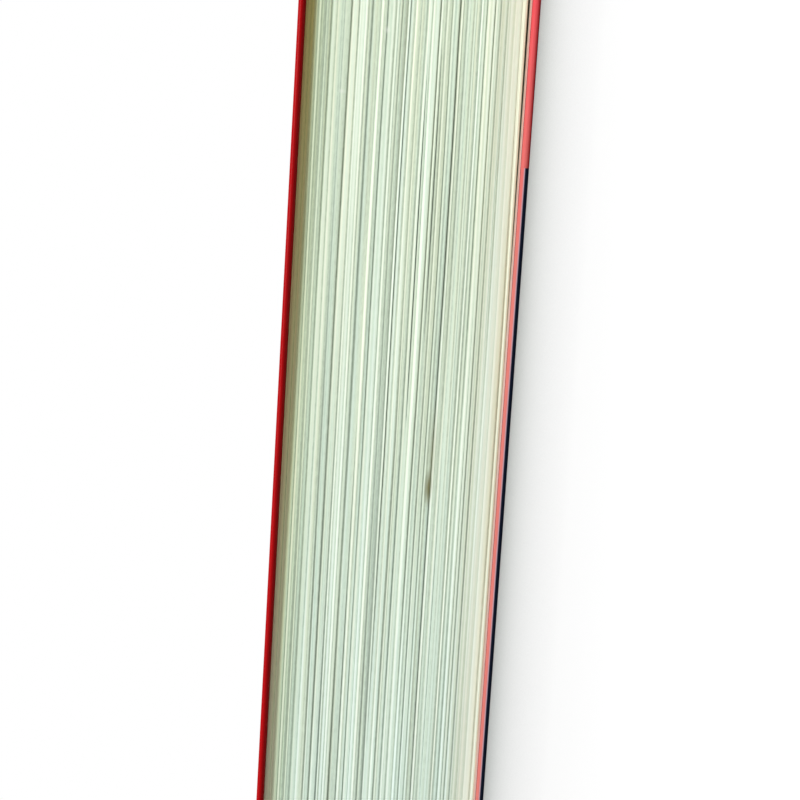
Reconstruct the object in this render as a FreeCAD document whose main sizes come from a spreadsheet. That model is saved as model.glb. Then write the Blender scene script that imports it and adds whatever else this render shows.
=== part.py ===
"""Thick paperback book with cover flaps, lying on its back cover.

The frame: X runs along the book's height from the tail (-X) to the head (+X), -Y is the fore-edge, where
the book opens, +Y is the spine, and +Z is up through the pages. The origin is under the book's middle, on
the surface that it lies on. Sizes are in millimetres.

The cover is one printed card. It is wrapped round the spine and folded back at the fore-edge into a flap
on each side, and it turns at the two edges of the spine, so it is three pieces here: the back cover with
its flap, the spine and the front cover with its flap. The leaves are trimmed on three sides, bound to one
another by a layer of glue at the spine, and modelled as one block whose edges show the leaves as ridges.
"""
import FreeCAD, Part
import math
import os
import Sketcher
from FreeCAD import Placement, Rotation, Vector

doc = FreeCAD.newDocument("paperback_book")
sheet = doc.addObject("Spreadsheet::Sheet", "sizes")

DRIVING_SIZES = [
    ("leaf_height", 210.0, "leaf and cover, tail to head"),
    ("leaf_depth", 146.0, "leaf, spine to fore-edge"),
    ("leaf_thick", 0.067, "one leaf of thin book paper"),
    ("leaf_count", 528, "33 gathered sections of 16 leaves, 1056 pages"),
    ("ridge_leaves", 4, "leaves that show as one ridge on the trimmed edges"),
    ("section_ridges", 4, "ridges that belong to one gathered section"),
    ("ridge_step", 0.3, "furthest that a ridge lies inside the trimmed edge"),
    ("card_thick", 0.35, "cover card"),
    ("fold_thick", 1.2, "outside thickness of the cover where it folds back at the fore-edge"),
    ("fore_overhang", 1.15, "how far the folded cover stands out past the leaves"),
    ("flap_length", 80.0, "flap, from the fore-edge fold to its free end"),
    ("flap_clear", 0.05, "air between a flap and the leaves"),
    ("flap_air", 0.03, "air between a flap's free end and the cover"),
    ("spine_clear", 0.02, "air between the cover and the leaves at the spine"),
    ("glue_thick", 0.5, "layer of glue on the spine"),
    ("score_in", 7.0, "pressed crease in each cover, from the spine's outer face"),
    ("score_wide", 0.9, "width of that crease"),
    ("score_deep", 0.1, "depth of that crease"),
]
for row, (alias, value, meaning) in enumerate(DRIVING_SIZES, start=1):
    sheet.set(f"A{row}", alias)
    sheet.set(f"B{row}", str(value))
    sheet.set(f"C{row}", meaning)
    sheet.setAlias(f"B{row}", alias)

# Sizes worked out from the driving ones. An inset is measured from the book's outer face to the leaves. A
# flap and the leaves on it lean towards the cover with the same slope, which is as steep as the flap's free
# end and the card at the spine allow.
WORKED_OUT = {
    "fold_round": "sizes.fold_thick / 2",
    "book_depth": "sizes.fore_overhang + sizes.leaf_depth + sizes.glue_thick + sizes.card_thick",
    "leaf_spine_y": "layout.book_depth / 2 - sizes.card_thick - sizes.glue_thick",
    "leaf_fore_y": "layout.leaf_spine_y - sizes.leaf_depth",
    "fore_inset": "sizes.fold_thick + sizes.flap_clear",
    "book_thick": "sizes.leaf_count * sizes.leaf_thick + 2 * layout.fore_inset",
    "flap_reach": "sizes.flap_length - layout.fold_round",
    "flap_slope": "(sizes.fold_thick - 2 * sizes.card_thick - sizes.flap_air) / layout.flap_reach",
    "leaf_slope": "(layout.fore_inset - sizes.card_thick - sizes.spine_clear) / sizes.leaf_depth",
    "lean": "min(layout.flap_slope; layout.leaf_slope)",
    "spine_inset": "layout.fore_inset - layout.lean * sizes.leaf_depth",
}
layout = doc.addObject("App::VarSet", "layout")
for name, expression in WORKED_OUT.items():
    layout.addProperty("App::PropertyFloat", name, "Layout")
    layout.setExpression(name, expression)
doc.recompute()


def size(alias):
    """The value of one driving size, read back from the sheet."""
    return float(sheet.get(alias))


def plane_of(body, role):
    """One of a body's own origin planes, such as YZ_Plane."""
    return next(f for f in body.Origin.OriginFeatures if f.Role == role)


def new_sketch(body, name):
    """A sketch on the body's YZ plane: its horizontal is the book's Y and its vertical the book's Z."""
    sketch = body.newObject("Sketcher::SketchObject", name)
    sketch.AttachmentSupport = (plane_of(body, "YZ_Plane"), [""])
    sketch.MapMode = "FlatFace"
    return sketch


def dimension(sketch, name, constraint, expression):
    """Adds a dimension to a sketch under a name, and binds it to the sizes."""
    index = sketch.addConstraint(constraint)
    sketch.renameConstraint(index, name)
    sketch.setExpression(f"Constraints.{name}", expression)


def arc(centre, radius, start, end):
    """The arc that turns anticlockwise from start to end."""
    first = math.atan2(start.y - centre.y, start.x - centre.x)
    last = math.atan2(end.y - centre.y, end.x - centre.x)
    circle = Part.Circle(centre, Vector(0, 0, 1), radius)
    return Part.ArcOfCircle(circle, first, last if last > first else last + 2 * math.pi)


def draw_folded_card(sketch):
    """The section of a cover: the outer face on the ground line, a quarter round at the spine, the inner
    face, the round fold at the fore-edge, and the flap that leans back over the inner face."""
    card, fold_round = size("card_thick"), layout.fold_round
    spine_y = layout.book_depth / 2
    centre = Vector(fold_round - spine_y, fold_round, 0)
    normal = Vector(layout.lean, 1, 0).normalize()
    along = Vector(1, -layout.lean, 0).normalize()
    run = layout.flap_reach / along.x
    fold_start = Vector(centre.x, 0, 0)
    outer_end = Vector(spine_y - card, 0, 0)
    corner_centre = Vector(spine_y - card, card, 0)
    spine_tip = Vector(spine_y, card, 0)
    inner_start = Vector(centre.x, card, 0)
    flap_under = centre + normal * (fold_round - card)
    flap_over = centre + normal * fold_round
    free_under = flap_under + along * run
    free_over = flap_over + along * run

    outer = sketch.addGeometry(Part.LineSegment(fold_start, outer_end))
    corner = sketch.addGeometry(arc(corner_centre, card, outer_end, spine_tip))
    inner = sketch.addGeometry(Part.LineSegment(spine_tip, inner_start))
    fold_in = sketch.addGeometry(arc(centre, fold_round - card, flap_under, inner_start))
    under = sketch.addGeometry(Part.LineSegment(flap_under, free_under))
    free_end = sketch.addGeometry(Part.LineSegment(free_under, free_over))
    over = sketch.addGeometry(Part.LineSegment(free_over, flap_over))
    fold_out = sketch.addGeometry(arc(centre, fold_round, flap_over, fold_start))

    start, end, middle = 1, 2, 3
    origin = -1
    for constraint in (
        Sketcher.Constraint("Horizontal", outer),
        Sketcher.Constraint("Horizontal", inner),
        Sketcher.Constraint("Tangent", outer, start, fold_out, end),
        Sketcher.Constraint("Tangent", outer, end, corner, start),
        Sketcher.Constraint("Coincident", corner, end, inner, start),
        Sketcher.Constraint("Horizontal", corner, middle, corner, end),
        Sketcher.Constraint("Tangent", inner, end, fold_in, end),
        Sketcher.Constraint("Tangent", under, start, fold_in, start),
        Sketcher.Constraint("Coincident", under, end, free_end, start),
        Sketcher.Constraint("Coincident", free_end, end, over, start),
        Sketcher.Constraint("Tangent", over, end, fold_out, start),
        Sketcher.Constraint("Coincident", fold_in, middle, fold_out, middle),
        Sketcher.Constraint("Perpendicular", free_end, over),
        Sketcher.Constraint("Parallel", under, over),
        Sketcher.Constraint("PointOnObject", outer, start, origin),
    ):
        sketch.addConstraint(constraint)
    corner_radius = Sketcher.Constraint("Radius", corner, card)
    fold_radius = Sketcher.Constraint("Radius", fold_out, fold_round)
    spine_face = Sketcher.Constraint("DistanceX", origin, 1, corner, end, spine_y)
    fold_place = Sketcher.Constraint("DistanceX", outer, start, origin, 1, -centre.x)
    flap_reach = Sketcher.Constraint("DistanceX", fold_out, middle, over, start, free_over.x - centre.x)
    flap_end = Sketcher.Constraint("DistanceY", origin, 1, over, start, free_over.y)
    dimension(sketch, "CornerRadius", corner_radius, "sizes.card_thick")
    dimension(sketch, "FoldRadius", fold_radius, "layout.fold_round")
    dimension(sketch, "SpineFace", spine_face, "layout.book_depth / 2")
    dimension(sketch, "FoldPlace", fold_place, "layout.book_depth / 2 - layout.fold_round")
    across = "layout.fold_round / sqrt(1 + layout.lean ^ 2)"
    dimension(sketch, "FlapReach", flap_reach, f"layout.flap_reach + layout.lean * {across}")
    dimension(sketch, "FlapEnd", flap_end, f"layout.fold_round + {across} - layout.lean * layout.flap_reach")


def draw_score(sketch):
    """The section of the pressed crease: a shallow notch in the outer face, near the spine."""
    middle = layout.book_depth / 2 - size("score_in")
    half, deep = size("score_wide") / 2, size("score_deep")
    left, right, tip = Vector(middle - half, 0, 0), Vector(middle + half, 0, 0), Vector(middle, deep, 0)
    mouth = sketch.addGeometry(Part.LineSegment(left, right))
    rising = sketch.addGeometry(Part.LineSegment(right, tip))
    falling = sketch.addGeometry(Part.LineSegment(tip, left))
    start, end, origin = 1, 2, -1
    for constraint in (
        Sketcher.Constraint("Coincident", mouth, end, rising, start),
        Sketcher.Constraint("Coincident", rising, end, falling, start),
        Sketcher.Constraint("Coincident", falling, end, mouth, start),
        Sketcher.Constraint("PointOnObject", mouth, start, origin),
        Sketcher.Constraint("PointOnObject", mouth, end, origin),
        Sketcher.Constraint("Equal", rising, falling),
    ):
        sketch.addConstraint(constraint)
    wide = Sketcher.Constraint("DistanceX", mouth, start, mouth, end, 2 * half)
    depth = Sketcher.Constraint("DistanceY", mouth, start, rising, end, deep)
    place = Sketcher.Constraint("DistanceX", origin, 1, rising, end, middle)
    dimension(sketch, "Wide", wide, "sizes.score_wide")
    dimension(sketch, "Deep", depth, "sizes.score_deep")
    dimension(sketch, "Place", place, "layout.book_depth / 2 - sizes.score_in")


def run_along_height(feature):
    """Makes a pad or a pocket run the whole height of the book, half of it each way from the middle."""
    feature.SideType = "Symmetric"
    feature.setExpression("Length", "sizes.leaf_height")


def folded_cover(label):
    """A cover with its flap, as it lies at the bottom of the book."""
    body = doc.addObject("PartDesign::Body", label)
    section = new_sketch(body, label + "_section")
    draw_folded_card(section)
    pad = body.newObject("PartDesign::Pad", label + "_card")
    pad.Profile = section
    run_along_height(pad)
    doc.recompute()
    whole = pad.Shape.Volume
    crease = new_sketch(body, label + "_crease")
    draw_score(crease)
    pocket = body.newObject("PartDesign::Pocket", label + "_score")
    pocket.Profile = crease
    run_along_height(pocket)
    body.Tip = pocket
    doc.recompute()
    if pocket.Shape.Volume >= whole:
        raise RuntimeError(f"the crease of {label} cuts nothing")
    return body


def front_cover():
    """The same folded card turned over about the book's Y axis, so that it lies on top."""
    body = folded_cover("front_cover")
    body.Placement = Placement(Vector(0, 0, layout.book_thick), Rotation(Vector(0, 1, 0), 180))
    body.setExpression(".Placement.Base.z", "layout.book_thick")
    return body


def spine_strip(label, thick, inside, inset):
    """A flat strip over the whole height of the spine: thick along Y, with its inside face at inside, and
    inset from the book's outer faces. The three are expressions."""
    box = doc.addObject("Part::Box", label)
    box.setExpression("Length", "sizes.leaf_height")
    box.setExpression("Width", thick)
    box.setExpression("Height", f"layout.book_thick - 2 * {inset}")
    box.setExpression(".Placement.Base.x", "-sizes.leaf_height / 2")
    box.setExpression(".Placement.Base.y", inside)
    box.setExpression(".Placement.Base.z", inset)
    return box


def spine_cover():
    """The card over the spine, between the rounded edges of the two covers."""
    return spine_strip(
        "spine_cover", "sizes.card_thick", "layout.leaf_spine_y + sizes.glue_thick", "sizes.card_thick"
    )


def spine_glue():
    """The glue that holds the leaves together and to the spine card, as thick as the block is there."""
    return spine_strip("spine_glue", "sizes.glue_thick", "layout.leaf_spine_y", "layout.spine_inset")


def uneven(number, edge):
    """How far ridge number lies inside a trimmed edge, from 0 to 1: half of it is shared by the ridges of a
    gathered section. It looks random and is the same each time."""

    def scatter(whole):
        spread = math.sin(12.9898 * (whole + 1) + 78.233 * edge) * 43758.5453
        return spread - math.floor(spread)

    section = number // int(size("section_ridges"))
    return (scatter(section + 0.5) + scatter(number)) / 2


def page_block():
    """All the leaves as one solid. Each ridge is a few leaves: a slab that is a little thicker at the spine,
    where the glue swells the block, than at the fore-edge, and that ends just inside the trimmed edges."""
    ridges = max(1, round(size("leaf_count") / size("ridge_leaves")))
    half = size("leaf_height") / 2
    step = size("ridge_step")

    def height_at(y, share):
        """Z of the line between two leaves, which starts share of the way up the trimmed edge."""
        low = layout.fore_inset - layout.lean * (y - layout.leaf_fore_y)
        return low + share * (layout.book_thick - 2 * low)

    slabs = []
    for number in range(ridges):
        fore = layout.leaf_fore_y + step * uneven(number, 0)
        head = half - step * uneven(number, 1)
        tail = step * uneven(number, 2) - half
        below, above = number / ridges, (number + 1) / ridges
        corners = [
            Vector(tail, fore, height_at(fore, below)),
            Vector(tail, layout.leaf_spine_y, height_at(layout.leaf_spine_y, below)),
            Vector(tail, layout.leaf_spine_y, height_at(layout.leaf_spine_y, above)),
            Vector(tail, fore, height_at(fore, above)),
        ]
        end_face = Part.Face(Part.makePolygon(corners + corners[:1]))
        slabs.append(end_face.extrude(Vector(head - tail, 0, 0)))
    feature = doc.addObject("Part::Feature", "page_block")
    feature.Shape = slabs[0].multiFuse(slabs[1:]).removeSplitter()
    feature.Placement = Placement()
    return feature


nodes = [page_block(), spine_glue(), spine_cover(), folded_cover("back_cover"), front_cover()]
doc.recompute()

for item in doc.Objects:
    if {"Invalid", "Error"} & set(item.State):
        raise RuntimeError(f"{item.Name} failed: {item.State}")
for node in nodes:
    if node.Shape.isNull() or not node.Shape.isValid() or len(node.Shape.Solids) != 1:
        raise RuntimeError(f"{node.Label} is not one valid solid")

os.makedirs("parts", exist_ok=True)
for node in nodes:
    node.Shape.exportStep(f"parts/{node.Label}.step")
    box = node.Shape.BoundBox
    print(
        f"{node.Label}: {node.Shape.Volume / 1000:.2f} cm3, {len(node.Shape.Faces)} faces,",
        f"X {box.XMin:.2f} to {box.XMax:.2f}, Y {box.YMin:.2f} to {box.YMax:.2f},",
        f"Z {box.ZMin:.2f} to {box.ZMax:.2f}",
    )
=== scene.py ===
# %% [markdown]
# A thick paperback whose red card cover is folded back into flaps, seen close from its fore-edge. The book
# lies on its back cover: X runs from its tail to its head, the fore-edge faces -Y, the spine +Y, and Z is
# up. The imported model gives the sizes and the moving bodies. This file gives the leaves, the card and the
# light.

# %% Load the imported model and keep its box
import math
import bpy
import numpy as np
from mathutils import Matrix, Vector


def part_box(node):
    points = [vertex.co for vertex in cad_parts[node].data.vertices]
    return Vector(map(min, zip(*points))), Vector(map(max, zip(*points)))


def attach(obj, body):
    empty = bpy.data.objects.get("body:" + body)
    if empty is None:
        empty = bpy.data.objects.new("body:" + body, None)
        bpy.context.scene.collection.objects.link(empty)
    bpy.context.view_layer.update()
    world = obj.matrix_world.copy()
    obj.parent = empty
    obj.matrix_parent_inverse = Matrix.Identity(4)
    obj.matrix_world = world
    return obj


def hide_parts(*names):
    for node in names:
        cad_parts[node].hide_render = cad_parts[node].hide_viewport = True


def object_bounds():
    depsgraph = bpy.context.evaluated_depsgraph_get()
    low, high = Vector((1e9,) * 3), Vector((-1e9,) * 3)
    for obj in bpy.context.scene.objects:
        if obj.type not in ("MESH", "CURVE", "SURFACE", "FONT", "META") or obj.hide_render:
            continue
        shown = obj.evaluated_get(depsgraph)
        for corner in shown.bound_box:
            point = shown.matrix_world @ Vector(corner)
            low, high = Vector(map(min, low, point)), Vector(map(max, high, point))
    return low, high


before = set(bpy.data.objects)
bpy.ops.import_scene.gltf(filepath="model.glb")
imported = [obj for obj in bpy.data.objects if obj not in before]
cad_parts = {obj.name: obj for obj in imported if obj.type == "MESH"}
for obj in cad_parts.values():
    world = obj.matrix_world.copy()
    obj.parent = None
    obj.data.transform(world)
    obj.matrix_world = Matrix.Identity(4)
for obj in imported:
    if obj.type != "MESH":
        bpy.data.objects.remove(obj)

MM = 0.001
cad_box = [[float(v) for v in corner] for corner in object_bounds()]
book_low, book_high = np.array(cad_box)
print("book size in mm:", np.round((book_high - book_low) / MM, 2))

# %% [markdown]
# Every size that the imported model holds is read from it: the card's thickness is the spine strip's, and the
# width of the fold at the fore-edge is the thickness of a whole cover. The few values below it can't give.

# %% Sizes of the book
block_low, block_high = (np.array(corner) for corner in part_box("page_block"))
glue_low, glue_high = (np.array(corner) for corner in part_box("spine_glue"))
strip_low, strip_high = (np.array(corner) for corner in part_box("spine_cover"))
cover_low, cover_high = (np.array(corner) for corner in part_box("back_cover"))
HALF_HEIGHT = book_high[0]
BOOK_THICK = book_high[2]
CARD = strip_high[1] - strip_low[1]
FOLD_ROUND = (cover_high[2] - cover_low[2]) / 2
FORE_Y, SPINE_Y = book_low[1], book_high[1]
LEAF_FORE_Y, LEAF_SPINE_Y = block_low[1], glue_low[1]
FLAP_LENGTH = 80 * MM
FLAP_CLEAR = 0.05 * MM
FORE_INSET = 2 * FOLD_ROUND + FLAP_CLEAR
LEAN = (FORE_INSET - block_low[2]) / (LEAF_SPINE_Y - LEAF_FORE_Y)
CREASE_IN, CREASE_WIDE, CREASE_DEEP = 7 * MM, 0.45 * MM, 0.08 * MM
print("card %.2f mm, fold %.2f mm, lean %.5f" % (CARD / MM, 2 * FOLD_ROUND / MM, LEAN))

# %% [markdown]
# A material is a small graph. `new_material` returns it with `add`, which makes one node and sets its
# inputs: a value is written into the socket, and another node's output is linked to it. Colours are written
# as on screen, from 0 to 255, and turned into the linear numbers that the shaders count in. The sky is a
# graph of the same kind, so `node_adder` serves both.

# %% Helpers for materials


def screen(red, green, blue):
    """A linear colour from screen values: the part above 0.04045 follows a power of 2.4, as sRGB says."""
    values = np.array([red, green, blue]) / 255
    linear = np.where(values > 0.04045, ((values + 0.055) / 1.055) ** 2.4, values / 12.92)
    return (*(float(v) for v in linear), 1.0)


def node_adder(tree):
    """The function that adds one node to a tree, with values written and outputs linked into its inputs."""

    def add(kind, inputs=None, **settings):
        node = tree.nodes.new("ShaderNode" + kind)
        for key, value in settings.items():
            setattr(node, key, value)
        for socket, value in (inputs or {}).items():
            if isinstance(value, bpy.types.NodeSocket):
                tree.links.new(value, node.inputs[socket])
            else:
                node.inputs[socket].default_value = value
        return node

    return add


def new_material(name):
    """An empty material, and the function that adds a node to it."""
    made = bpy.data.materials.new(name)
    made.use_nodes = True
    made.node_tree.nodes.clear()
    return made, node_adder(made.node_tree)


def mixed(add, factor, first, second, blend="MIX"):
    """The colour output of a mix of two colours."""
    node = add("Mix", {0: factor, 6: first, 7: second}, data_type="RGBA", blend_type=blend)
    return node.outputs[2]


def calc(add, operation, *values, clamp=False):
    """The output of one sum on numbers."""
    return add("Math", dict(enumerate(values)), operation=operation, use_clamp=clamp).outputs[0]


def ramp(add, value, *stops):
    """A colour ramp through (place, colour) stops, driven by value."""
    node = add("ValToRGB", {0: value})
    elements = node.color_ramp.elements
    elements[0].position, elements[1].position = stops[0][0], stops[-1][0]
    for place, _ in stops[1:-1]:
        elements.new(place)
    for element, (_, colour) in zip(elements, stops):
        element.color = colour
    return node.outputs[0]


print("screen grey 128 in linear numbers:", round(screen(128, 128, 128)[0], 3))

# %% [markdown]
# Smooth unevenness comes from random numbers at a few places along an edge, joined by a cosine ease. Taking
# it for all leaves at once gives one row of waviness for each leaf.

# %% Smooth random rows


def wander(rng, rows, places, along):
    """Random rows from -1 to 1. A row has random numbers at some places, eased from one to the next by half a
    cosine wave, and is read at along, which runs from 0 to 1."""
    knots = rng.uniform(-1, 1, (rows, places))
    reach = np.clip(along, 0, 1) * (places - 1)
    left = np.minimum(reach.astype(int), places - 2)
    ease = (1 - np.cos(np.pi * (reach - left))) / 2
    return knots[:, left] * (1 - ease) + knots[:, left + 1] * ease


# %% [markdown]
# The leaves are the book's face here: thin sheets in about 33 sections, trimmed on three sides. They could
# be 528 boxes, but those would be heavy and too regular. One surface is light and can lean and slip by
# hundredths of a millimetre. Each ridge on it is two leaves, 0.13 mm. Its first parameter runs round the
# three trimmed edges and its second climbs through the ridges.

# %% The path round the trimmed edges, and the ridges
LEAVES = 528
RIDGES = LEAVES // 2
SECTION = 8
SECTIONS = RIDGES // SECTION
STEPS_HIGH, STEPS_DEEP = 72, 14
rng = np.random.default_rng(61)

end_steps = np.linspace(0, 1, STEPS_DEEP + 1)
fore_steps = np.linspace(-1, 1, STEPS_HIGH + 1)
end_y = LEAF_SPINE_Y + (LEAF_FORE_Y - LEAF_SPINE_Y) * end_steps
tail_x, head_x = -HALF_HEIGHT + 0 * end_y[:-1], HALF_HEIGHT + 0 * end_y[:-1]
path_x = np.concatenate([tail_x, HALF_HEIGHT * fore_steps, head_x])
path_y = np.concatenate([end_y[:-1], LEAF_FORE_Y + 0 * fore_steps, end_y[-2::-1]])
out_x = np.where(path_x <= -HALF_HEIGHT, -1.0, np.where(path_x >= HALF_HEIGHT, 1.0, 0.0))
out_y = np.where(path_y <= LEAF_FORE_Y, -1.0, 0.0)
walked = np.concatenate([[0], np.cumsum(np.hypot(np.diff(path_x), np.diff(path_y)))])
along = walked / walked[-1]
print("ridges:", RIDGES, "places along the edges:", len(along))

# %% [markdown]
# An open split is a gap between two ridges that swells and closes along the edge. The list gives, for each,
# its share of the way down from the front cover, where it starts and ends along X in mm, and how wide it
# gets in mm. They are listed one by one, because the eye finds these few first, and the fine gaps between the
# other leaves are random. The lowest ridges cling to the back cover's flap and leave a gap at the head.

# %% Open splits between the leaves
SPLITS = [
    (0.335, -110, -5, 0.05),
    (0.385, -120, -20, 0.05),
    (0.466, -60, 110, 0.10),
    (0.558, -6, 56, 0.15),
    (0.617, 10, 58, 0.09),
    (0.690, -110, 110, 0.09),
    (0.735, -70, -10, 0.05),
    (0.832, -110, 20, 0.05),
    (0.900, 0, 60, 0.04),
    (0.996, -60, 40, 0.07),
]
CLINGING = 2
HEAD_GAP, HEAD_GAP_FULL_X = 0.36 * MM, 70 * MM
LEAF_AIR, SEAM_AIR = 0.005 * MM, 0.02 * MM


def swell(x, start, end):
    """A hump from start to end: the square root of a sine, so that it opens fast and stays open."""
    inside = np.clip((x - start) / (end - start), 0, 1)
    return np.sqrt(np.sin(np.pi * inside))


def ease_up(x, start, end):
    """A smooth step from 0 at start to 1 at end."""
    share = np.clip((x - start) / (end - start), 0, 1)
    return share * share * (3 - 2 * share)


seams = np.cumsum(np.concatenate([[0], rng.uniform(0.87, 1.13, SECTIONS)]))
seams *= RIDGES / seams[-1]
gaps = np.full((RIDGES, 1), LEAF_AIR) * rng.uniform(0.3, 1.7, (RIDGES, 1)) + 0 * path_x
between = rng.random((SECTIONS - 1, 1)) ** 2 * (1 + 0.6 * wander(rng, SECTIONS - 1, 9, along))
gaps[np.round(seams[1:-1]).astype(int) - 1] += SEAM_AIR * between
for share, start, end, wide in SPLITS:
    ridge = round((1 - share) * RIDGES)
    gaps[ridge] += wide * MM * swell(path_x, start * MM, end * MM)
gaps[CLINGING - 1] += HEAD_GAP * ease_up(path_x, 0.0, HEAD_GAP_FULL_X)
gaps[-1] = 0
print("widest gap in mm:", round(float(gaps.max()) / MM, 3))

# %% [markdown]
# The trimmed edge of a section bulges a little. Its upper side leans up to the lamp and makes a crisp light
# line, and its lower side leans away beside the seam and makes a dark one. A painted line alone would stay
# the same from all sides, so the surface itself leans, and the leaves' tone repeats the same lines as painted
# light and shade. `edge_facing` says how far it leans up at each edge of a ridge: a light and a dark pulse at
# each seam, a weaker pair in the section's middle, and slower waves over groups of sections. All change
# slowly along the edge and are calmer near the front cover.

# %% How the edge leans
RHYTHM = [(1, 4, 0.025), (4, 8, 0.020), (8, 14, 0.032), (14, 28, 0.034), (60, 80, 0.050)]
WAVES_EACH = 5
LIGHT_LINE, DARK_LINE, MIDDLE_LINE = 0.46, 0.30, 0.10
LIGHT_BELOW_SEAM, DARK_ABOVE_SEAM, MIDDLE_APART = 1.3, 0.3, 1.5
LIGHT_WIDE, LINE_WIDE = 1.0, 0.8
SEAM_SHIFT = 0.7
FULL_STRENGTH, CALMED_BY = 1.12, 0.38
CALM_FROM, CALM_TO = 0.74, 0.90


def waves_through(rng, edges):
    """The sum of cosines and sines of random frequency in each band of RHYTHM, with heights that wander along
    the edge, so that the band's effective height is the one it states."""
    depth = np.linspace(0, 1, edges)
    total = np.zeros((edges, len(along)))
    for lowest, highest, height in RHYTHM:
        turns = 2 * np.pi * rng.uniform(lowest, highest, WAVES_EACH)
        for wave in (np.cos, np.sin):
            steady = rng.normal(0, 0.75, (WAVES_EACH, 1))
            strength = steady + 1.15 * wander(rng, WAVES_EACH, 11, along)
            total += height / math.sqrt(WAVES_EACH) * wave(depth[:, None] * turns) @ strength
    return total


def section_lines(rng, edges):
    """The pulses of all sections. A pulse is e to the minus square of the distance from its place, counted in
    its width."""
    place = np.arange(edges)[:, None]
    shifts = SEAM_SHIFT * wander(rng, len(seams), 9, along)
    total = np.zeros((edges, len(along)))

    def pulse(height, middle, width):
        change = 1 + 0.45 * wander(rng, 1, 12, along)
        return height * rng.uniform(0.4, 1.6) * change * np.exp(-(((place - middle) / width) ** 2))

    for below, above in zip(seams[:-1, None] + shifts[:-1], seams[1:, None] + shifts[1:]):
        middle = below + (above - below) * rng.uniform(0.35, 0.6)
        light = pulse(LIGHT_LINE, above - LIGHT_BELOW_SEAM, LIGHT_WIDE)
        total += light - pulse(DARK_LINE, below + DARK_ABOVE_SEAM, LINE_WIDE)
        light = pulse(MIDDLE_LINE, middle, LINE_WIDE)
        total += light - pulse(MIDDLE_LINE, middle + MIDDLE_APART, LINE_WIDE)
    return total


edge_facing = waves_through(rng, RIDGES + 1) + section_lines(rng, RIDGES + 1)
up_block = np.linspace(0, 1, RIDGES + 1)[:, None]
edge_facing *= FULL_STRENGTH - CALMED_BY * ease_up(up_block, CALM_FROM, CALM_TO)
print("effective height of the lines:", round(float(edge_facing.std()), 3))

# %% [markdown]
# The height of each ridge is its place in the stack: the leaves share what the gaps leave over. How far a
# ridge stays inside the trimmed edge is a sum: the climb that follows from how the edge leans, the ridge's
# own slip, and a set-back that grows towards the head. The block is a touch askew under its cover, so the
# fold shades a wider band of it there. The clinging ridges are drawn out towards the fold.

# %% Heights and insets of the ridges
STAND_OWN, GROOVE, RELIEF = 0.04 * MM, 0.03 * MM, 1.35
SET_BACK, ASKEW = 0.33 * MM, 0.26 * MM
THINNEST, THICKEST = 0.55, 1.45
SLIP_POWER = 1.6
DRAWN_OUT = 0.35 * MM
GROOVE_PER_GAP = 5.5
widths = rng.uniform(THINNEST, THICKEST, (RIDGES, 1))
widths /= widths.sum()
low = FORE_INSET - LEAN * (path_y - LEAF_FORE_Y)
room = BOOK_THICK - 2 * low
thickness = widths * (room - gaps.sum(axis=0))
bottoms = low + np.concatenate([0 * thickness[:1], np.cumsum(thickness + gaps, axis=0)[:-1]])
tops = bottoms + thickness

facing = (edge_facing[1:] + edge_facing[:-1]) / 2
climb = np.concatenate([0 * thickness[:1], np.cumsum(RELIEF * facing * thickness, axis=0)])
climb -= climb.mean(axis=0) + np.linspace(-0.5, 0.5, RIDGES + 1)[:, None] * (climb[-1] - climb[0])
own_slip = STAND_OWN * rng.random((RIDGES, 1)) ** SLIP_POWER
set_back = SET_BACK + ASKEW * ease_up(path_x, -HALF_HEIGHT, HALF_HEIGHT)
bottom_inset = climb[:-1] + own_slip + set_back
top_inset = climb[1:] + own_slip + set_back
drawn_out = DRAWN_OUT * (out_x == 0)
bottom_inset[:CLINGING] -= drawn_out
top_inset[:CLINGING] -= drawn_out
groove = np.maximum(top_inset, np.roll(bottom_inset, -1, axis=0)) + GROOVE + GROOVE_PER_GAP * gaps
print("insets in mm: %.3f to %.3f" % (bottom_inset.min() / MM, bottom_inset.max() / MM))

# %% [markdown]
# Three rows of points make a ridge and the groove above it. The face of the first and last leaf, and the
# bound side, close the surface. Three attributes go with it for the finish: `tone`, how light each leaf is,
# painted light and shade included, `leaf`, its place through the block, and `walk`, the distance walked along
# the edge.

# %% One mesh from the rows


def grid_faces(index):
    """Quads over a grid of point numbers, turned so that (second axis) x (first axis) points out."""
    return np.stack([index[:-1, :-1], index[:-1, 1:], index[1:, 1:], index[1:, :-1]], axis=-1).reshape(-1, 4)


def mesh_object(name, points, faces, smooth=False):
    """An object at the origin from an array of points and an array of quads."""
    mesh = bpy.data.meshes.new(name)
    mesh.from_pydata(points.tolist(), [], faces.tolist())
    mesh.polygons.foreach_set("use_smooth", np.full(len(faces), smooth))
    mesh.update()
    made = bpy.data.objects.new(name, mesh)
    bpy.context.scene.collection.objects.link(made)
    return made


def keep_attribute(thing, name, values):
    """Writes one number for each point of the mesh under a name that materials can read."""
    kept = thing.data.attributes.new(name, "FLOAT", "POINT").data
    kept.foreach_set("value", values.astype(np.float32).ravel())


def leaf_rows():
    """Points of all rows round the trimmed edges, as an array of rows, places and coordinates."""
    middles = (tops + np.roll(bottoms, -1, axis=0)) / 2
    heights = np.stack([bottoms, tops, middles], axis=1).reshape(-1, len(path_x))[:-1]
    insets = np.stack([bottom_inset, top_inset, groove], axis=1).reshape(-1, len(path_x))[:-1]
    return np.stack([path_x - out_x * insets, path_y - out_y * insets, heights], axis=-1)


def leaf_face(row):
    """The face of an outer leaf, a grid across from the tail edge to the head edge of one row."""
    tail = row[:STEPS_DEEP][:, None]
    head = row[-1 : -STEPS_DEEP - 1 : -1][:, None]
    across = (fore_steps[None, :, None] + 1) / 2
    return tail * (1 - across) + head * across


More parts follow.
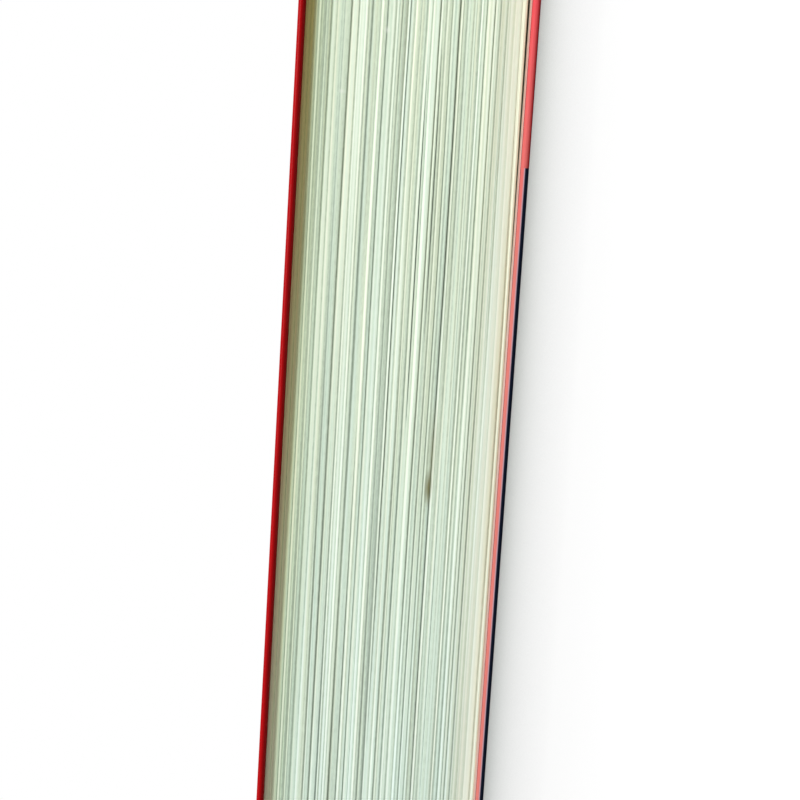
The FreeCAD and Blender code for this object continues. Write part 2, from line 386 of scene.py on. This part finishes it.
rows = leaf_rows()
count, places = rows.shape[:2]
edge_index = np.arange(count * places).reshape(count, places)
caps, cap_faces = [], []
for row, number, side in ((rows[0], edge_index[0], "last"), (rows[-1], edge_index[-1], "first")):
    face = leaf_face(row)
    start = count * places + sum(len(c) for c in caps)
    index = np.empty((STEPS_DEEP + 1, STEPS_HIGH + 1), int)
    index[:-1, 1:-1] = start + np.arange(STEPS_DEEP * (STEPS_HIGH - 1)).reshape(STEPS_DEEP, -1)
    index[:-1, 0] = number[:STEPS_DEEP]
    index[:-1, -1] = number[-1 : -STEPS_DEEP - 1 : -1]
    index[-1] = number[STEPS_DEEP : STEPS_DEEP + STEPS_HIGH + 1]
    caps.append(face[:, 1:-1].reshape(-1, 3))
    quads = grid_faces(index)
    cap_faces.append(quads if side == "last" else quads[:, ::-1])
bound = np.stack([edge_index[:, -1], edge_index[:, 0]], axis=1)
points = np.concatenate([rows.reshape(-1, 3), *caps])
faces = np.concatenate([grid_faces(edge_index), grid_faces(bound), *cap_faces])
leaves = mesh_object("leaves", points, faces)
on_faces = np.zeros(len(faces), np.int32)
on_faces[-sum(len(quads) for quads in cap_faces) :] = 1
leaves.data.polygons.foreach_set("material_index", on_faces)
print("leaves:", len(points), "points,", len(faces), "quads")

# %% [markdown]
# The tone is lighter where the edge leans up and darker where it leans down, as painted light and shade over
# what the leaning surface casts. Little light comes back from the mouth of a split, so the leaves beside it
# get painted shade that grows with its width, and each groove gets painted shade. The leaves get painted
# light near the back cover and on the clinging ridges, and painted shade near the front cover that widens its
# fold's shadow, except under its fold towards the tail, where painted light brightens the band. It is kept on
# the points, so that it follows every leaf without a picture.

# %% Tone of each leaf
shares = (np.arange(RIDGES)[:, None] + 0.5) / RIDGES
MOUTH_SHADE, MOUTH_DARKEST = 4.5 / MM, 0.55
MID_TONE, TONE_SPREAD, GROOVE_PAINTED_SHADE = 0.5, 0.08, 0.2
BACK_PAINTED_LIGHT, FRONT_PAINTED_SHADE, CLINGING_PAINTED_LIGHT, BAND_TAIL_PAINTED_LIGHT = 0.26, 0.08, 0.20, 0.2
DIP, DIP_AT, DIP_WIDE = 0.08, 0.40, 0.025
FACE_TONE, FACE_WALK = 0.6, 0.3
tone_spread_and_painted_light = TONE_SPREAD * (rng.random((RIDGES, 1)) - 0.5)
# Painted light: the leaves near the back cover are made paler where its fold keeps light from them.
tone_spread_and_painted_light = tone_spread_and_painted_light + BACK_PAINTED_LIGHT * (1 - ease_up(shares, 0.05, 0.20))
# Painted shade: the leaves near the front cover are made darker, widening its fold's shadow.
tone_spread_and_painted_light = tone_spread_and_painted_light - FRONT_PAINTED_SHADE * ease_up(shares, 0.86, 0.95)
# Painted light on the clinging ridges, against the shade beside the head gap.
tone_spread_and_painted_light[:CLINGING] += CLINGING_PAINTED_LIGHT
to_tail = 1 - ease_up(path_x, -60 * MM, 70 * MM)
# Painted light: the band in the fold's shadow is made lighter towards the tail.
tone_spread_and_painted_light = tone_spread_and_painted_light + BAND_TAIL_PAINTED_LIGHT * ease_up(shares, 0.93, 0.96) * to_tail
dip = np.exp(-(((shares - DIP_AT) / DIP_WIDE) ** 2))
tone_spread_and_painted_light = tone_spread_and_painted_light - DIP * dip * (1 - ease_up(path_x, 30 * MM, 60 * MM))
split_shade = np.minimum(MOUTH_SHADE * gaps, MOUTH_DARKEST)
# Adding the edge's lean to the tone paints light where it leans up and shade where it leans down; the split's
# mouth gets painted shade.
low_tone = MID_TONE + edge_facing[:-1] + tone_spread_and_painted_light - np.roll(split_shade, 1, axis=0)
high_tone = MID_TONE + edge_facing[1:] + tone_spread_and_painted_light - split_shade
# The groove row between ridges is painted darker: painted shade in the groove.
tone = np.stack([low_tone, high_tone, high_tone - GROOVE_PAINTED_SHADE], axis=1).reshape(-1, places)[:-1]
leaf = np.repeat((np.arange(RIDGES) + 0.5) / RIDGES, 3)[:-1, None] + 0 * path_x
walk = walked + 0 * leaf
cap_count = len(caps[0])
keep_attribute(leaves, "tone", np.concatenate([tone.ravel(), np.full(2 * cap_count, FACE_TONE)]))
keep_attribute(leaves, "leaf", np.concatenate([leaf.ravel(), np.zeros(cap_count), np.ones(cap_count)]))
keep_attribute(leaves, "walk", np.concatenate([walk.ravel(), np.full(2 * cap_count, FACE_WALK)]))
print("tone from %.2f to %.2f" % (tone.min(), tone.max()))

# %% [markdown]
# Book paper is a matte, faintly green cream. A picture of paper could be wrapped round the block, but it
# would not follow the leaves, so the colour comes from the three attributes. The tone of a leaf picks its
# place between a grey-green shade and a pale cream. Streaks along the edge and a fine grain follow the cut
# fibres. The clinging leaf gets a faint pink, painted light bounced from the red flap, and the gap beside it
# a brown painted shade. The leaves towards the front cover get painted shade, and the band under the front
# cover's fold an olive painted shade that yellows towards the head. A faint painted light runs cooler towards
# the tail and warmer towards the head. SPOTS holds an olive-brown smudge with a dark core and two pale flecks
# on the fore-edge: for each its place in X and Z, its two half sizes, its strength and its colour.

# %% Paper
SPOTS = [
    (-9.0 * MM, 12.3 * MM, 10.0 * MM, 1.0 * MM, 0.5, (172, 172, 130)),
    (-14.8 * MM, 12.6 * MM, 3.6 * MM, 0.7 * MM, 1.1, (134, 132, 92)),
    (59.0 * MM, 23.7 * MM, 0.7 * MM, 0.6 * MM, 0.6, (250, 255, 244)),
    (49.0 * MM, 30.2 * MM, 0.5 * MM, 0.7 * MM, 0.6, (250, 255, 244)),
]
TONE_DOWN, STREAK, FIBRE = 0.25, 0.22, 0.28
BAND_FROM, BAND_TO = 0.95, 0.966


def paper():
    """Matte paper, with streaks along the leaves from their own attributes."""
    made, add = new_material("page_paper")
    tone_of = add("Attribute", attribute_name="tone").outputs["Fac"]
    leaf_of = add("Attribute", attribute_name="leaf").outputs["Fac"]
    walk_of = add("Attribute", attribute_name="walk").outputs["Fac"]
    place = add("TexCoord").outputs["Object"]
    split = add("SeparateXYZ", {0: place})
    front = calc(add, "LESS_THAN", split.outputs[1], LEAF_FORE_Y + 2 * MM)

    def on_leaves(per_metre, through_block, roughness):
        """Noise stretched over the leaves, with one scale along the edge and one through the whole block."""
        along_edge = calc(add, "MULTIPLY", walk_of, per_metre)
        spread = add("CombineXYZ", {0: along_edge, 1: calc(add, "MULTIPLY", leaf_of, through_block)})
        inputs = {"Vector": spread.outputs[0], "Scale": 1.0, "Detail": 2.0, "Roughness": roughness}
        return add("TexNoise", inputs).outputs[0]

    streak = on_leaves(16.0, 150.0, 0.6)
    fibre = on_leaves(700.0, 200.0, 0.6)
    drift = on_leaves(9.0, 40.0, 0.5)
    darker = calc(add, "SUBTRACT", tone_of, TONE_DOWN)
    lightness = calc(add, "MULTIPLY_ADD", streak, STREAK, darker)
    lightness = calc(add, "MULTIPLY_ADD", fibre, FIBRE, lightness)
    shade = ramp(
        add,
        lightness,
        (0.0, screen(150, 164, 146)),
        (0.5, screen(233, 247, 227)),
        (0.85, screen(248, 255, 242)),
    )
    # Tint by place through the block: a faint pink on the clinging leaf, painted light bounced from the red
    # flap; a brown painted shade in the gap beside it; a cream near the back cover; painted shade towards the
    # front cover.
    toning_and_painted_light = ramp(
        add,
        leaf_of,
        (0.0, screen(255, 240, 246)),
        (0.0062, screen(255, 240, 244)),
        (0.0076, screen(204, 132, 108)),
        (0.0092, screen(255, 246, 236)),
        (0.014, screen(255, 250, 242)),
        (0.07, screen(255, 253, 250)),
        (0.20, screen(255, 255, 255)),
        (0.80, screen(255, 255, 255)),
        (0.90, screen(249, 250, 244)),
        (0.95, screen(230, 232, 213)),
    )
    # The band under the front cover's fold gets an olive painted shade, yellower towards the head.
    lengthwise = add("MapRange", {0: split.outputs[0], 1: -70 * MM, 2: 65 * MM})
    painted_band_shade = mixed(add, lengthwise.outputs[0], screen(255, 246, 222), screen(236, 214, 148))
    in_band = add("MapRange", {0: leaf_of, 1: BAND_FROM, 2: BAND_TO})
    toning_and_painted_light = mixed(add, in_band.outputs[0], toning_and_painted_light, painted_band_shade)
    shade = mixed(add, 1.0, shade, toning_and_painted_light, "MULTIPLY")
    # A faint painted light along the edge: cooler towards the tail, warmer towards the head.
    painted_cool_light = mixed(add, lengthwise.outputs[0], screen(247, 251, 255), screen(255, 255, 251))
    shade = mixed(add, 1.0, shade, painted_cool_light, "MULTIPLY")
    tint = ramp(add, drift, (0.35, screen(250, 254, 255)), (0.65, screen(255, 253, 247)))
    shade = mixed(add, 1.0, shade, tint, "MULTIPLY")
    for along_x, high_z, half_x, half_z, strength, spot_colour in SPOTS:
        shift = (-along_x / half_x, 0, -high_z / half_z)
        spot = add("Mapping", {0: place, 1: shift, 3: (1 / half_x, 0, 1 / half_z)})
        spot = add("TexGradient", {0: spot.outputs[0]}, gradient_type="SPHERICAL").outputs[1]
        streaked = calc(add, "MULTIPLY", streak, 2 * strength)
        spot = calc(add, "MULTIPLY", spot, streaked, clamp=True)
        shade = mixed(add, calc(add, "MULTIPLY", spot, front), shade, screen(*spot_colour))
    rough = add("TexNoise", {"Vector": place, "Scale": 2600.0, "Detail": 2.0})
    bump = add("Bump", {"Height": rough.outputs[0], "Strength": 0.25, "Distance": 0.00004})
    finish = add("BsdfPrincipled", {"Base Color": shade, "Roughness": 0.86, "Normal": bump.outputs[0]})
    finish.inputs["Specular IOR Level"].default_value = 0.25
    add("OutputMaterial", {0: finish.outputs[0]})
    return made


def leaf_surface():
    """The flat of a leaf: cream paper with soft, cloudy fibre."""
    made, add = new_material("leaf_surface")
    place = add("TexCoord").outputs["Object"]
    cloud = add("TexNoise", {"Vector": place, "Scale": 220.0, "Detail": 4.0})
    colour = ramp(add, cloud.outputs[0], (0.3, screen(238, 235, 216)), (0.7, screen(243, 240, 223)))
    finish = add("BsdfPrincipled", {"Base Color": colour, "Roughness": 0.8})
    finish.inputs["Specular IOR Level"].default_value = 0.25
    add("OutputMaterial", {0: finish.outputs[0]})
    return made


leaves.data.materials.append(paper())
leaves.data.materials.append(leaf_surface())
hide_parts("page_block")
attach(leaves, "text_block")
print("spots on the fore-edge:", len(SPOTS))

# %% [markdown]
# The cover is one sheet of card, printed on one side and left white on the other. A flat sheet could be
# bent by a modifier, but a section carried along X keeps the card's thickness and tells how far along the
# sheet each point is, which the print needs. The section is a pair of lines about one card apart, the
# printed side and the bare side: a quarter round at the spine, the flat with its pressed crease, half a
# turn at the fore-edge, and the flap that leans back over the flat.

# %% Section of a folded cover
CORNER_AIR = 0.03 * MM


def folded_section():
    """The printed side and the bare side as arrays of (Y, Z). The turn's middle is one fold radius in from
    the fore-edge, and a point of it lies at the radius times (-cosine, sine) of an angle from it."""
    turn_y = FORE_Y + FOLD_ROUND
    lean_angle = math.atan(LEAN)
    corner = np.linspace(0, np.pi / 2, 9)
    printed = [np.stack([SPINE_Y - CARD + CARD * np.cos(corner), CARD - CARD * np.sin(corner)], axis=-1)]
    inner_y = SPINE_Y - CORNER_AIR - (CARD - CORNER_AIR) * np.sin(corner)
    bare = [np.stack([inner_y, CARD + 0 * corner], axis=-1)]

    near_crease = SPINE_Y - CREASE_IN + CREASE_WIDE * np.linspace(2.5, -2.5, 17)
    flat = np.concatenate(
        [
            np.linspace(SPINE_Y - CARD, near_crease[0], 5)[1:-1],
            near_crease,
            np.linspace(near_crease[-1], turn_y, 40)[1:],
        ]
    )
    pressed = CREASE_DEEP * np.exp(-(((flat - SPINE_Y + CREASE_IN) / CREASE_WIDE) ** 2))
    printed.append(np.stack([flat, pressed], axis=-1))
    bare.append(np.stack([flat, CARD + 0.5 * pressed], axis=-1))

    angle = np.linspace(-np.pi / 2, np.pi / 2 + lean_angle, 21)[1:]
    circle = np.stack([-np.cos(angle), np.sin(angle)], axis=-1)
    printed.append([turn_y, FOLD_ROUND] + FOLD_ROUND * circle)
    bare.append([turn_y, FOLD_ROUND] + (FOLD_ROUND - CARD) * circle)

    run = (FLAP_LENGTH - FOLD_ROUND) * np.linspace(0, 1, 25)[1:, None]
    down = np.array([math.cos(lean_angle), -math.sin(lean_angle)])
    printed.append(printed[2][-1] + run * down)
    bare.append(bare[2][-1] + run * down)
    return np.concatenate(printed), np.concatenate(bare)


def card_object(name, printed, bare, places_x, turned_over=False):
    """A card carried along X from a section's two sides. The printed side, the bare side, the two cut ends
    and the two free ends close it. Turned over, it goes half a turn round the Y axis, to the book's top."""
    steps = len(printed)

    def carried(side):
        grid = np.empty((steps, len(places_x), 3))
        grid[..., 0] = places_x
        grid[..., 1:] = side[:, None]
        return grid

    points = np.stack([carried(printed), carried(bare)])
    index = np.arange(2 * steps * len(places_x)).reshape(2, steps, -1)
    out, inside = index
    ends = [out[:, -1], out[:, 0]], [inside[:, -1], inside[:, 0]]
    head = np.stack([ends[0][0], ends[1][0]])
    tail = np.stack([ends[1][1], ends[0][1]])
    first = np.stack([inside[0], out[0]])
    last = np.stack([out[-1], inside[-1]])
    patches = [grid_faces(out), grid_faces(inside)[:, ::-1]]
    patches += [grid_faces(head)[:, ::-1], grid_faces(tail)[:, ::-1]]
    patches += [grid_faces(first), grid_faces(last)]
    if turned_over:
        points[..., 0] *= -1
        points[..., 2] = BOOK_THICK - points[..., 2]
    made = mesh_object(name, points.reshape(-1, 3), np.concatenate(patches))
    patch_of = np.repeat(np.arange(len(patches)), [len(patch) for patch in patches])
    made.data.polygons.foreach_set("material_index", (patch_of > 0).astype(np.int32))
    made.data.polygons.foreach_set("use_smooth", patch_of < 2)
    walked_out = np.concatenate([[0], np.cumsum(np.linalg.norm(np.diff(printed, axis=0), axis=1))])
    keep_attribute(made, "unrolled", np.broadcast_to(walked_out[None, :, None], index.shape))
    return made


card_x = np.linspace(-HALF_HEIGHT, HALF_HEIGHT, 61)
printed_side, bare_side = folded_section()
back_cover = card_object("back_cover_card", printed_side, bare_side, card_x)
front_cover = card_object("front_cover_card", printed_side, bare_side, card_x, turned_over=True)

up_spine = np.linspace(strip_low[2], strip_high[2], 33)
spine_outside = np.stack([SPINE_Y + 0 * up_spine, up_spine], axis=-1)[::-1]
spine_inside = np.stack([strip_low[1] + 0 * up_spine, up_spine], axis=-1)[::-1]
spine_card = card_object("spine_card", spine_outside, spine_inside, card_x)
print("section points of a cover:", len(printed_side))

# %% [markdown]
# The printed side is laminated: a film over the ink that gives a soft, broad gloss. The print could be a
# picture, but it only changes with the length along the sheet and along the book, so those two numbers make
# it. The outside is red: a darker red on the front cover and spine as painted shade, and a brighter red on
# the back cover as painted light. The turn towards the flap has another colour: maroon on the front cover,
# painted shade on the turn's under side, and on the back cover coral that pales to salmon beside the navy
# field, a painted highlight on its lit turn. That field covers the back cover from the tail to past the
# middle of the book, and stops at the fold in a thin pale line, a painted highlight.

# %% Card finishes
# One red in two copies: darker on the front cover and spine as painted shade, brighter on the back cover as
# painted light. Maroon is painted shade on the front turn; coral and salmon are a painted highlight on the
# back turn.
RED_PAINTED_SHADE, MAROON_PAINTED_SHADE = screen(178, 6, 12), screen(134, 0, 2)
RED_PAINTED_LIGHT, CORAL_PAINTED_HIGHLIGHT, SALMON_PAINTED_HIGHLIGHT = screen(196, 18, 28), screen(240, 72, 84), screen(220, 122, 115)
NAVY = screen(16, 26, 46)
FIELD_END = 38.7 * MM
LINE_SHIFT = 0.1 * MM
FOLD_LINE = float(np.pi / 2 * (CARD + FOLD_ROUND) + (SPINE_Y - FORE_Y) - CARD - FOLD_ROUND) + LINE_SHIFT
TURN_BLEND = 0.6 * MM
TURN_PAINT_BEFORE, TURN_PAINT_BEFORE_FIELD = 0.45 * MM, 0.8 * MM
COAT, COAT_ROUGH = 0.14, 0.3


def laminated(name, outside, turn_painted_colour, field=False):
    """Laminated print: the outside's red, the turn towards the flap in painted light and shade, and the navy
    field.
    """
    made, add = new_material(name)
    place = add("TexCoord").outputs["Object"]
    split = add("SeparateXYZ", {0: place})
    unrolled = add("Attribute", attribute_name="unrolled").outputs["Fac"]
    turn_paint_before = TURN_PAINT_BEFORE_FIELD if field else TURN_PAINT_BEFORE
    turn_paint_full = FOLD_LINE + TURN_BLEND - turn_paint_before
    # Past the fold line the turn takes its painted light and shade colour.
    past_line = add("MapRange", {0: unrolled, 1: FOLD_LINE - turn_paint_before, 2: turn_paint_full})
    before_flap = add("MapRange", {0: unrolled, 1: FOLD_LINE + 5 * MM, 2: FOLD_LINE + 2 * MM})
    turned = calc(add, "MULTIPLY", past_line.outputs[0], before_flap.outputs[0])
    if field:
        ends = {1: FIELD_END - 15 * MM, 2: FIELD_END + 35 * MM}
        lengthwise = add("MapRange", {0: split.outputs[0], **ends})
        turn_painted_colour = mixed(add, lengthwise.outputs[0], SALMON_PAINTED_HIGHLIGHT, turn_painted_colour)
    colour = mixed(add, turned, outside, turn_painted_colour)
    ink = add("TexNoise", {"Vector": place, "Scale": 60.0, "Detail": 4.0})
    cloudy = ramp(add, ink.outputs[0], (0.3, screen(246, 244, 244)), (0.7, (1, 1, 1, 1)))
    colour = mixed(add, 1.0, colour, cloudy, "MULTIPLY")
    if field:
        before = calc(add, "LESS_THAN", split.outputs[0], FIELD_END)
        on_cover = calc(add, "LESS_THAN", unrolled, FOLD_LINE)
        colour = mixed(add, calc(add, "MULTIPLY", before, on_cover), colour, NAVY)
        # A thin pale line along the navy field's fold line: a painted highlight.
        off_line = calc(add, "ABSOLUTE", calc(add, "SUBTRACT", unrolled, FOLD_LINE))
        painted_highlight_line = add("MapRange", {0: off_line, 1: 0.15 * MM, 2: 0.03 * MM, 4: 0.75}).outputs[0]
        colour = mixed(add, calc(add, "MULTIPLY", painted_highlight_line, before), colour, screen(204, 174, 188))
    grain = add("TexNoise", {"Vector": place, "Scale": 1400.0, "Detail": 2.0})
    bump = add("Bump", {"Height": grain.outputs[0], "Strength": 0.12, "Distance": 0.00005})
    finish = add("BsdfPrincipled", {"Base Color": colour, "Roughness": 0.38, "Normal": bump.outputs[0]})
    finish.inputs["Specular IOR Level"].default_value = 0.0
    finish.inputs["Coat Weight"].default_value = COAT
    finish.inputs["Coat Roughness"].default_value = COAT_ROUGH
    add("OutputMaterial", {0: finish.outputs[0]})
    return made


def bare_card():
    """The unprinted side and the cut ends: soft white card with a fine fleck."""
    made, add = new_material("bare_card")
    place = add("TexCoord").outputs["Object"]
    fleck = add("TexNoise", {"Vector": place, "Scale": 900.0, "Detail": 3.0})
    colour = ramp(add, fleck.outputs[0], (0.3, screen(226, 222, 210)), (0.7, screen(242, 239, 230)))
    finish = add("BsdfPrincipled", {"Base Color": colour, "Roughness": 0.7})
    add("OutputMaterial", {0: finish.outputs[0]})
    return made


card_white = bare_card()
red_print = laminated("red_print", RED_PAINTED_SHADE, MAROON_PAINTED_SHADE)
for piece, node, body, finish in (
    (back_cover, "back_cover", "back_cover", laminated("red_and_navy_print", RED_PAINTED_LIGHT, CORAL_PAINTED_HIGHLIGHT, field=True)),
    (front_cover, "front_cover", "front_cover", red_print),
    (spine_card, "spine_cover", "text_block", red_print),
):
    piece.data.materials.append(finish)
    piece.data.materials.append(card_white)
    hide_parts(node)
    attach(piece, body)
print("from the spine's edge to the fold line, in mm:", round(FOLD_LINE / MM, 2))

# %% [markdown]
# Hot glue runs into the backs of the leaves and sets in a thin ivory layer. It shows only at the head and
# the tail, as a line between the leaves and the card. A plain strip is enough for that, so it is made like
# the card, from two lines carried along X, and ends 0.1 mm inside the leaves.

# %% Spine glue
GLUE_END = 0.1 * MM
glue_z = np.linspace(glue_low[2], glue_high[2], 90)
glue_section = np.stack([glue_high[1] + 0 * glue_z, glue_z], axis=-1)[::-1]
glue_inner = np.stack([glue_low[1] + 0 * glue_z, glue_z], axis=-1)[::-1]
glue_x = np.linspace(-1, 1, 9) * (HALF_HEIGHT - GLUE_END)
glue = card_object("glue", glue_section, glue_inner, glue_x)


def hot_glue():
    """Ivory glue with small waves from the roller."""
    made, add = new_material("hot_glue")
    place = add("TexCoord").outputs["Object"]
    waves = add("TexNoise", {"Vector": place, "Scale": 500.0, "Detail": 2.0})
    bump = add("Bump", {"Height": waves.outputs[0], "Strength": 0.5, "Distance": 0.0001})
    colour = ramp(add, waves.outputs[0], (0.3, screen(214, 204, 172)), (0.7, screen(232, 226, 200)))
    finish = add("BsdfPrincipled", {"Base Color": colour, "Roughness": 0.35, "Normal": bump.outputs[0]})
    add("OutputMaterial", {0: finish.outputs[0]})
    return made


glue_finish = hot_glue()
glue.data.materials.append(glue_finish)
glue.data.materials.append(glue_finish)
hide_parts("spine_glue")
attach(glue, "text_block")
print("glue thickness in mm:", round((glue_high[1] - glue_low[1]) / MM, 2))

# %% [markdown]
# The table is white. The camera, gloss and glass see it at full white, and the light that bounces off it is
# that of a pale grey table. An ambient occlusion node paints a soft contact shadow into its colour, darker
# towards the book, where the book keeps part of the sky from it. Far away from the book it is shown plain
# white.

# %% Floor
FLOOR_HALF = 4.0
PLAIN_FROM, PLAIN_TO = 0.25, 0.7
CONTACT_REACH = 95 * MM
OPEN_LEVEL = 1.17
CONTACT_SHADE = (0.03, 0.03, 0.05)
BOUNCED = screen(184, 184, 184)


def table_white():
    """A matte white for the camera, gloss and glass, with a painted contact shadow close to the book, and a
    pale grey for bounced light."""
    made, add = new_material("table_white")
    path = add("LightPath")
    seen = calc(add, "ADD", path.outputs["Is Camera Ray"], path.outputs["Is Glossy Ray"], clamp=True)
    seen = calc(add, "ADD", seen, path.outputs["Is Transmission Ray"], clamp=True)
    # Painted contact shadow: the ambient occlusion darkens the table's colour near the book.
    near = add("AmbientOcclusion", {"Distance": CONTACT_REACH}, samples=8)
    pale = 1 / OPEN_LEVEL
    shaded = (*(level * pale for level in CONTACT_SHADE), 1)
    white_with_painted_shadow = mixed(add, near.outputs["AO"], shaded, (pale, pale, pale, 1))
    colour = mixed(add, seen, BOUNCED, white_with_painted_shadow)
    finish = add("BsdfDiffuse", {"Color": colour})
    away = add("VectorMath", {0: add("TexCoord").outputs["Object"]}, operation="LENGTH").outputs["Value"]
    away = add("MapRange", {0: away, 1: PLAIN_FROM, 2: PLAIN_TO}, interpolation_type="SMOOTHSTEP").outputs[0]
    plain = add("Emission", {"Color": (1, 1, 1, 1), "Strength": 1.0})
    far = calc(add, "MULTIPLY", away, seen)
    shown = add("MixShader", {0: far, 1: finish.outputs[0], 2: plain.outputs[0]})
    add("OutputMaterial", {0: shown.outputs[0]})
    return made


corners = FLOOR_HALF * np.array([[-1, -1, 0], [1, -1, 0], [1, 1, 0], [-1, 1, 0]])
floor = mesh_object("floor", corners, np.array([[0, 1, 2, 3]]))
floor.data.materials.append(table_white())
print("floor width in m:", 2 * FLOOR_HALF)

# %% [markdown]
# One long, narrow soft light hangs above and in front of the fore-edge, so the fold of the front cover
# casts a band of shade on the leaves and each proud leaf shades the next. A point lamp would cut that shade
# too hard. The sky is weak at the horizon and brighter overhead, like a ceiling, and the camera, gloss and
# glass see it plain white.

# %% Light
scene = bpy.context.scene
scene.view_settings.view_transform = "Standard"
LIGHT_HEIGHT_ANGLE = math.radians(53)
LIGHT_DISTANCE = 1.2
LIGHT_POWER = 12.9
LAMP_LONG, LAMP_WIDE, LAMP_SIDE = 1.1, 0.12, 0.30
SKY_HORIZON, SKY_TOP = 0.2, 0.6

sky = bpy.data.worlds.new("sky")
scene.world = sky
sky.use_nodes = True
add_sky = node_adder(sky.node_tree)
direction = add_sky("SeparateXYZ", {0: add_sky("TexCoord").outputs["Generated"]})
lit = add_sky("MapRange", {0: direction.outputs[2], 3: SKY_HORIZON, 4: SKY_TOP})
sky_path = add_sky("LightPath")
seen = calc(add_sky, "ADD", sky_path.outputs["Is Camera Ray"], sky_path.outputs["Is Glossy Ray"])
seen = calc(add_sky, "ADD", seen, sky_path.outputs["Is Transmission Ray"], clamp=True)
strength = add_sky("Mix", {0: seen, 2: lit.outputs[0], 3: 1.0}, data_type="FLOAT")
background = sky.node_tree.nodes["Background"]
sky.node_tree.links.new(strength.outputs[0], background.inputs["Strength"])
background.inputs["Color"].default_value = (1, 1, 1, 1)

lamp = bpy.data.lights.new("long_softbox", "AREA")
lamp.shape = "RECTANGLE"
lamp.size, lamp.size_y = LAMP_LONG, LAMP_WIDE
lamp.energy = LIGHT_POWER
lamp_object = bpy.data.objects.new("long_softbox", lamp)
lamp_object.location = (
    LAMP_SIDE,
    FORE_Y - LIGHT_DISTANCE * math.cos(LIGHT_HEIGHT_ANGLE),
    LIGHT_DISTANCE * math.sin(LIGHT_HEIGHT_ANGLE),
)
lamp_object.rotation_euler = (math.pi / 2 - LIGHT_HEIGHT_ANGLE, 0, 0)
scene.collection.objects.link(lamp_object)
print("lamp stands at, in m:", np.round(lamp_object.location, 2))

# %% [markdown]
# The camera is close to the fore-edge, at the height of the front cover, a little towards the head, and it
# is turned on its side: the head is up in the picture and the table is at its right.

# %% Camera
LENS = 120.0
CAMERA_SIDE = math.radians(12.76)
CAMERA_ROLL = math.radians(3.61)
CAMERA_DISTANCE = 430 * MM
CAMERA_HEIGHT = BOOK_THICK - 0.4 * MM
AIM = np.array([0.0, FORE_Y, 18.13 * MM])

stand = AIM + CAMERA_DISTANCE * np.array([math.sin(CAMERA_SIDE), -math.cos(CAMERA_SIDE), 0])
stand[2] = CAMERA_HEIGHT
forward = (AIM - stand) / np.linalg.norm(AIM - stand)
level_right = np.cross(forward, [1.0, 0.0, 0.0])
level_right /= np.linalg.norm(level_right)
level_up = np.cross(level_right, forward)
right = math.cos(CAMERA_ROLL) * level_right + math.sin(CAMERA_ROLL) * level_up
up = np.cross(right, forward)

camera = bpy.data.cameras.new("camera")
camera.lens = LENS
camera.clip_start = 0.01
camera_object = bpy.data.objects.new("camera", camera)
matrix = np.eye(4)
matrix[:3] = np.column_stack([right, up, -forward, stand])
camera_object.matrix_world = Matrix(matrix.tolist())
scene.collection.objects.link(camera_object)
scene.camera = camera_object
print("camera stands at, in mm:", np.round(stand / MM, 1))
